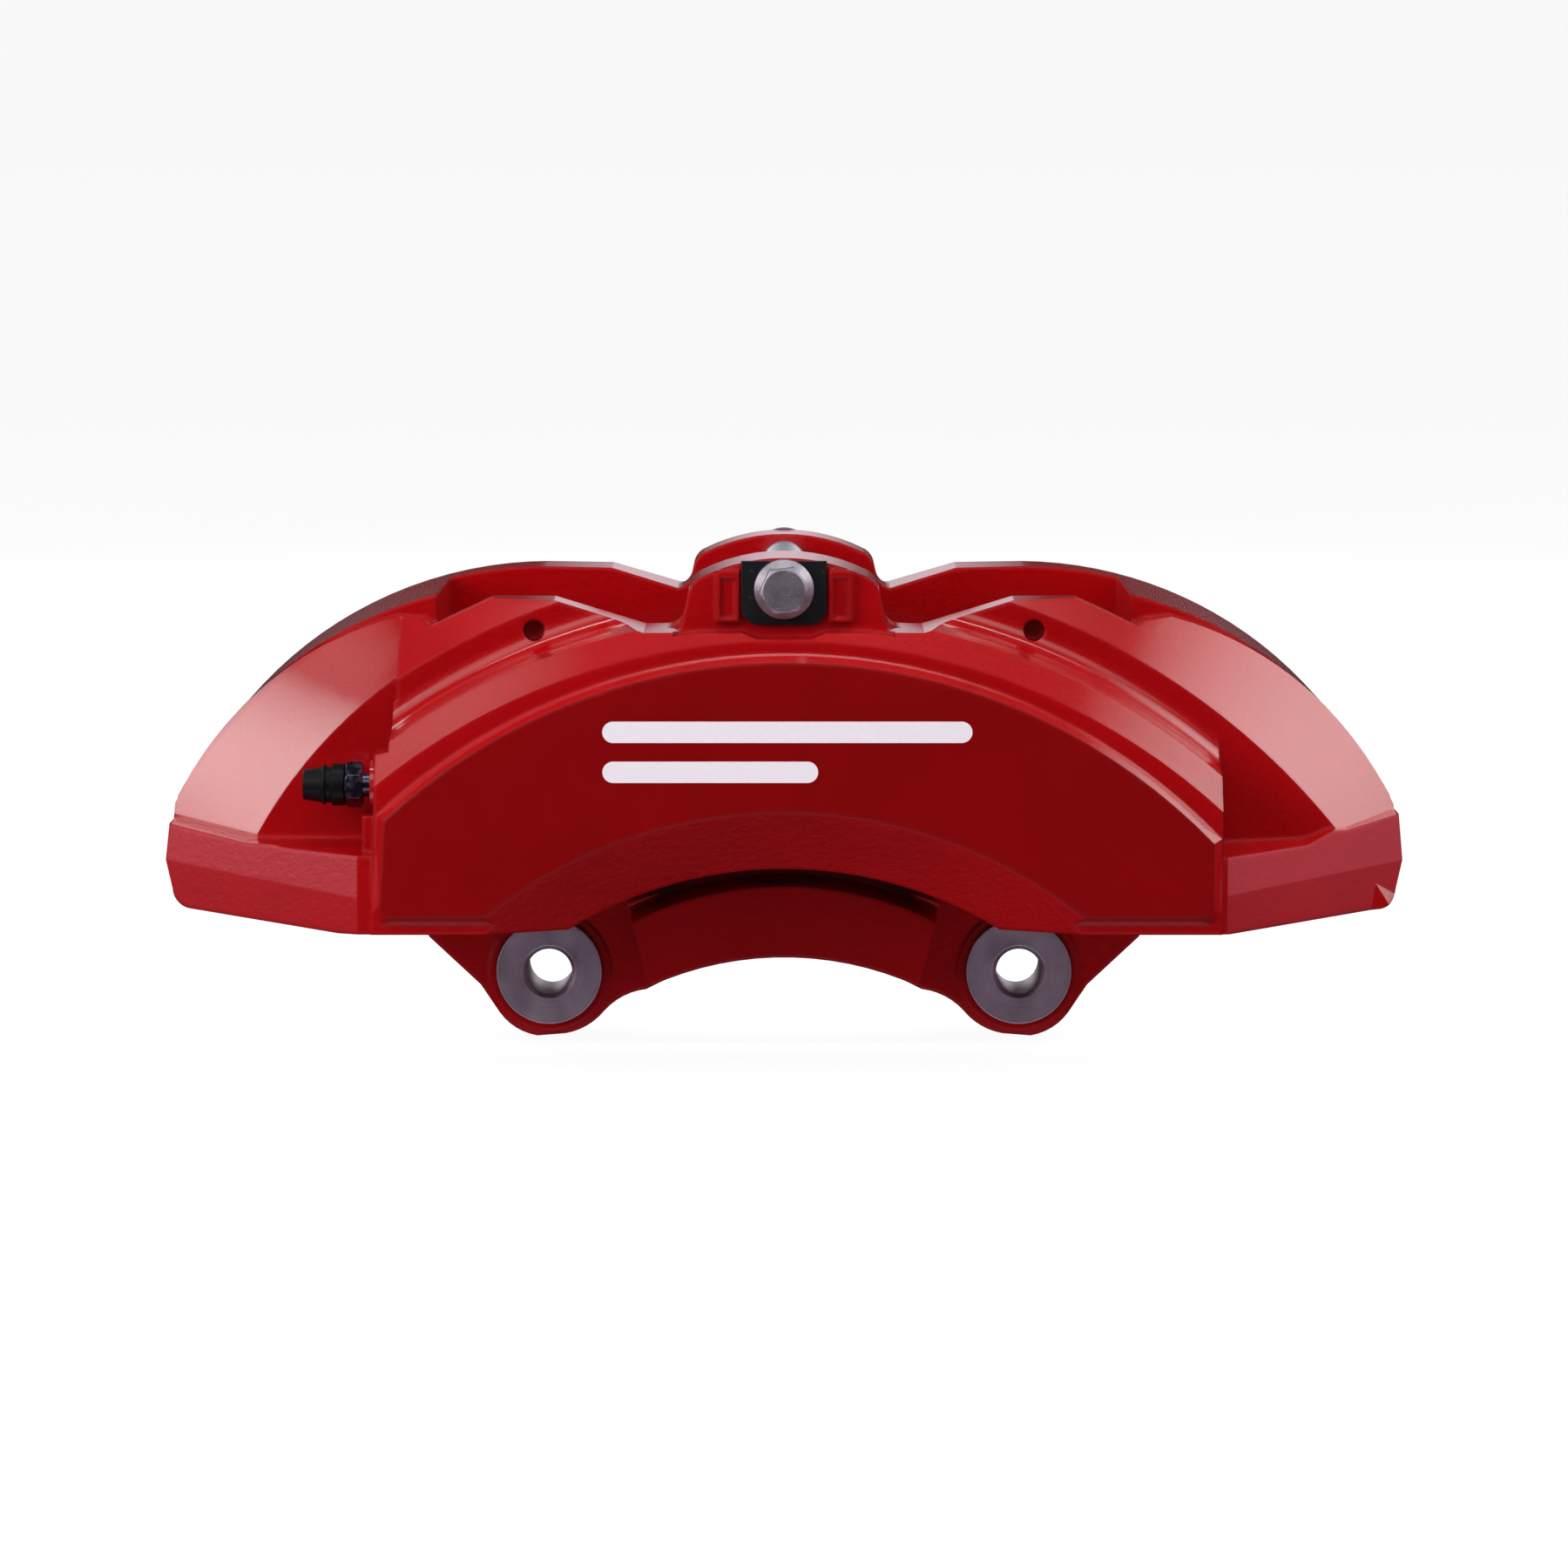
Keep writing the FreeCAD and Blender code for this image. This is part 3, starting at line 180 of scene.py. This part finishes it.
def bush_steel():
    """Dark steel with the rings that a facing tool leaves round each bush's hole, and faint stains."""
    shader = Shader("bush_steel", Metallic=1.0)
    across = shader.math("SUBTRACT", shader.math("ABSOLUTE", shader.x), MOUNT_HALF)
    rings = shader.lines(shader.radius(across, shader.z), scale=3500.0)
    stain = shader.noise(scale=130.0, detail=4.0)
    tone = shader.steps(shader.math("ADD", rings, stain), 0.6, 1.4)
    colour = shader.mix(tone, (0.27, 0.22, 0.26), (0.50, 0.44, 0.50))
    return shader.finish(colour, shader.between(stain, 0.40, 0.58), 0.5 * MM, [(rings, 0.02 * MM)])


def bolt_steel():
    """Grey phosphate with bright speckle, slightly raised."""
    shader = Shader("bolt_steel", Metallic=0.85)
    speckle = shader.steps(shader.noise(scale=4200.0, detail=3.0), 0.55, 0.75)
    cloud = shader.noise(scale=220.0, detail=3.0)
    grey = shader.mix(cloud, (0.19, 0.165, 0.19), (0.31, 0.29, 0.33))
    colour = shader.mix(speckle, grey, (0.58, 0.57, 0.62))
    return shader.finish(colour, shader.between(cloud, 0.34, 0.5), 0.35 * MM, [(speckle, 0.01 * MM)])


def black_plate():
    """Satin black paint with a little dust."""
    shader = Shader("black_plate")
    dust = shader.steps(shader.noise(scale=900.0, detail=4.0), 0.62, 0.8)
    colour = shader.mix(dust, (0.004, 0.004, 0.005), (0.03, 0.03, 0.034))
    return shader.finish(colour, shader.between(dust, 0.38, 0.6), 0.4 * MM, [(dust, 0.02 * MM)])


def spacer_steel():
    """Bright turned bar: the marks run round it, so they change along Y."""
    shader = Shader("spacer_steel", Metallic=1.0)
    marks = shader.lines(shader.y, scale=2500.0)
    colour = shader.mix(marks, (0.30, 0.32, 0.38), (0.52, 0.55, 0.64))
    roughness = shader.between(shader.noise(scale=160.0, detail=3.0), 0.36, 0.52)
    return shader.finish(colour, roughness, 0.3 * MM, [(marks, 0.01 * MM)])


def bleed_steel():
    """Dark zinc plate with a violet cast, worn paler in patches."""
    shader = Shader("bleed_steel", Metallic=1.0)
    worn = shader.steps(shader.noise(scale=420.0, detail=4.0), 0.45, 0.75)
    colour = shader.mix(worn, (0.065, 0.06, 0.10), (0.22, 0.21, 0.28))
    grain = shader.noise(scale=900.0)
    return shader.finish(colour, shader.between(worn, 0.26, 0.42), 0.4 * MM, [(grain, 0.01 * MM)])


def rubber(name, grey, rough):
    """Black rubber with a paler bloom in patches, and a fine grain."""
    shader = Shader(name, Specular_IOR_Level=0.12)
    bloom = shader.noise(scale=260.0, detail=4.0)
    bare = (grey, grey, grey * 1.15)
    bloomed = (grey * 2.4,) * 3
    colour = shader.mix(shader.steps(bloom, 0.4, 0.75), bare, bloomed)
    roughness = shader.between(bloom, rough - 0.08, rough + 0.12)
    grain = shader.noise(scale=1600.0, detail=3.0)
    return shader.finish(colour, roughness, 0.3 * MM, [(grain, 0.015 * MM)])


def black_rubber():
    """The bleed screws' caps."""
    return rubber("black_rubber", 0.002, 0.40)


def seal_rubber():
    """The pistons' fluid and dust seals."""
    return rubber("seal_rubber", 0.014, 0.5)


def stainless():
    """Rolled sheet and ground bar: grain drawn out along X."""
    shader = Shader("stainless", Metallic=1.0)
    stretch = shader.node("ShaderNodeMapping", Vector=shader.place)
    stretch.inputs["Scale"].default_value = (0.06, 1.0, 1.0)
    grain = shader.noise(2200.0, 3.0, stretch.outputs["Vector"])
    colour = shader.mix(grain, (0.36, 0.355, 0.35), (0.60, 0.59, 0.575))
    return shader.finish(colour, shader.between(grain, 0.24, 0.40), 0.2 * MM, [(grain, 0.008 * MM)])


def piston_aluminium():
    """Hard-anodised and turned, in an olive grey."""
    shader = Shader("piston_aluminium", Metallic=0.9)
    marks = shader.lines(shader.y, scale=3000.0)
    cloud = shader.steps(shader.noise(scale=120.0, detail=3.0), 0.3, 0.7)
    colour = shader.mix(cloud, (0.16, 0.15, 0.12), (0.25, 0.235, 0.195))
    return shader.finish(colour, shader.between(marks, 0.30, 0.44), 0.4 * MM, [(marks, 0.012 * MM)])


def pad_plate_paint():
    """Black powder coat with a fine even texture, rubbed grey in places."""
    shader = Shader("pad_plate_paint")
    rubbed = shader.steps(shader.noise(scale=190.0, detail=5.0), 0.58, 0.8)
    colour = shader.mix(rubbed, (0.010, 0.010, 0.011), (0.07, 0.07, 0.072))
    texture = shader.noise(scale=1300.0, detail=2.0)
    return shader.finish(colour, shader.between(rubbed, 0.5, 0.68), 0.4 * MM, [(texture, 0.06 * MM)])


def friction_lining():
    """Sintered compound: dark matrix with pale and coppery grains, and open pores."""
    shader = Shader("friction_lining")
    grains = shader.node("ShaderNodeTexVoronoi", Vector=shader.place, Scale=900.0)
    kind = shader.node("ShaderNodeSeparateColor", Color=grains.outputs["Color"])
    matrix = shader.mix(kind.outputs[0], (0.022, 0.021, 0.02), (0.10, 0.095, 0.088))
    copper = shader.math("GREATER_THAN", kind.outputs[1], 0.9)
    colour = shader.mix(copper, matrix, (0.28, 0.13, 0.06))
    pores = shader.steps(shader.noise(scale=700.0, detail=4.0), 0.35, 0.6)
    return shader.finish(colour, shader.between(pores, 0.95, 0.72), 0.4 * MM, [(pores, 0.12 * MM)])


MAKERS = {
    "red_paint": red_paint, "bush_steel": bush_steel, "bolt_steel": bolt_steel, "black_plate": black_plate,
    "spacer_steel": spacer_steel, "bleed_steel": bleed_steel, "black_rubber": black_rubber,
    "seal_rubber": seal_rubber, "stainless": stainless, "piston_aluminium": piston_aluminium,
    "pad_plate_paint": pad_plate_paint, "friction_lining": friction_lining,
}


def paint_nodes():
    """Give every CAD node the material of its slot."""
    made = {slot: maker() for slot, maker in MAKERS.items()}
    for part in frame["record"]["subparts"]:
        piece = frame["nodes"][part["node"]]
        piece.data.materials.clear()
        piece.data.materials.append(made[part["material_slot"]])


# ---- Studio -------------------------------------------------------------------------------------
def look_at(thing, point, front="-Z"):
    """Turn a thing so that its front axis points at a point."""
    thing.rotation_euler = (point - thing.location).to_track_quat(front, "Y").to_euler()


def fading_glow(name, glow, tint):
    """Glow that is full at a card's middle and fades to nothing at its edges; the card hides nothing."""
    shader = Shader(name)
    strength = glow
    for across in (shader.x, shader.y):
        # The card's own coordinates run from -0.5 to 0.5.
        edge = shader.math("MULTIPLY", across, 2.0)
        fade = shader.math("SUBTRACT", 1.0, shader.math("MULTIPLY", edge, edge))
        strength = shader.math("MULTIPLY", fade, strength)
    emission = shader.node("ShaderNodeEmission", Color=(*tint, 1), Strength=strength)
    clear = shader.node("ShaderNodeBsdfTransparent")
    both = shader.node("ShaderNodeAddShader")
    shader.put(both.inputs[0], emission.outputs[0])
    shader.put(both.inputs[1], clear.outputs[0])
    shader.put(shader.tree.nodes["Material Output"].inputs["Surface"], both.outputs[0])
    return shader.material


def softbox(name, azimuth, elevation, distance, width, height, glow, tint=WHITE):
    """Glowing card aimed at the caliper, unseen by the camera. Azimuth 0 is in front, 90 on the right."""
    turn = math.radians(azimuth)
    rise = math.radians(elevation)
    way = Vector((math.sin(turn) * math.cos(rise), -math.cos(turn) * math.cos(rise), math.sin(rise)))
    bpy.ops.mesh.primitive_plane_add(size=1.0, location=AIM + way * distance)
    card = bpy.context.object
    card.name = name
    card.scale = (width, height, 1.0)
    look_at(card, AIM, "Z")
    card.data.materials.append(fading_glow(name, glow, tint))
    card.visible_camera = False
    card.visible_shadow = False


def pale(name, glow, albedo):
    """Pale matt surface, kept even by a little light of its own."""
    material = bpy.data.materials.new(name)
    material.use_nodes = True
    surface = material.node_tree.nodes["Principled BSDF"]
    surface.inputs["Base Color"].default_value = (albedo, albedo, albedo, 1)
    surface.inputs["Roughness"].default_value = 0.9
    surface.inputs["Specular IOR Level"].default_value = 0.0
    surface.inputs["Emission Color"].default_value = (1, 1, 1, 1)
    surface.inputs["Emission Strength"].default_value = glow
    return material


def backdrop():
    """Pale floor and surround that only the camera sees."""
    centre = (0, 0, FLOOR_Z)
    bpy.ops.mesh.primitive_circle_add(vertices=96, radius=FLOOR_R, fill_type="NGON", location=centre)
    floor = bpy.context.object
    floor.name = "floor"
    floor.data.materials.append(pale("floor", BACKDROP_GLOW, FLOOR_ALBEDO))
    bpy.ops.mesh.primitive_uv_sphere_add(segments=64, ring_count=32, radius=SURROUND_R, location=centre)
    surround = bpy.context.object
    surround.name = "surround"
    surround.data.materials.append(pale("surround", BACKDROP_GLOW, 0.0))
    for backing in (floor, surround):
        backing.visible_diffuse = False
        backing.visible_glossy = False
        backing.visible_shadow = False


def room():
    """The dark room round the softboxes."""
    world = bpy.data.worlds.new("room")
    world.use_nodes = True
    background = world.node_tree.nodes["Background"]
    background.inputs["Color"].default_value = ROOM_COLOUR
    background.inputs["Strength"].default_value = ROOM_GLOW
    bpy.context.scene.world = world


def lights():
    """Softboxes for the lacquer to reflect, in degrees and metres."""
    # name, azimuth, elevation, distance, width, height, glow
    softbox("left_box", -56, 20, 1.8, 1.5, 1.1, 8.5)
    softbox("left_fade", -52, 44, 1.8, 1.0, 1.0, 1.5)
    softbox("right_box", 82, 34, 1.8, 2.0, 1.3, 5.6)
    softbox("front_box", 0, 42, 1.7, 2.4, 1.0, 2.5)
    softbox("top_strip", 0, 80, 1.6, 2.2, 0.2, 16.0)
    softbox("bounce", 0, -50, 1.6, 3.2, 1.4, 1.6, BLUSH)
    softbox("left_card", -62, 1, 1.6, 1.5, 1.1, 1.1, ROSE)
    softbox("right_card", 62, 1, 1.6, 1.5, 1.1, 1.2, ROSE)
    softbox("back_card", 180, 9, 1.6, 0.3, 0.4, 0.8, (1.0, 0.92, 1.0))
    softbox("back_left_box", -142, 30, 1.8, 1.6, 1.2, 5.0)
    softbox("back_right_box", 142, 30, 1.8, 1.6, 1.2, 5.0)
    softbox("back_low_card", 180, -32, 1.8, 2.4, 1.0, 1.2)


def camera():
    """Long lens in front of the caliper and a little above it."""
    data = bpy.data.cameras.new("camera")
    data.sensor_width = 36.0
    data.lens = data.sensor_width * CAMERA_DISTANCE / VIEW_WIDTH
    data.clip_end = 100.0
    holder = bpy.data.objects.new("camera", data)
    bpy.context.scene.collection.objects.link(holder)
    back = Vector((0.0, -math.cos(CAMERA_ELEVATION), math.sin(CAMERA_ELEVATION)))
    holder.location = TARGET + back * CAMERA_DISTANCE
    look_at(holder, TARGET)
    bpy.context.scene.camera = holder


paint_nodes()
backdrop()
room()
lights()
camera()
bpy.context.scene.view_settings.view_transform = "Standard"
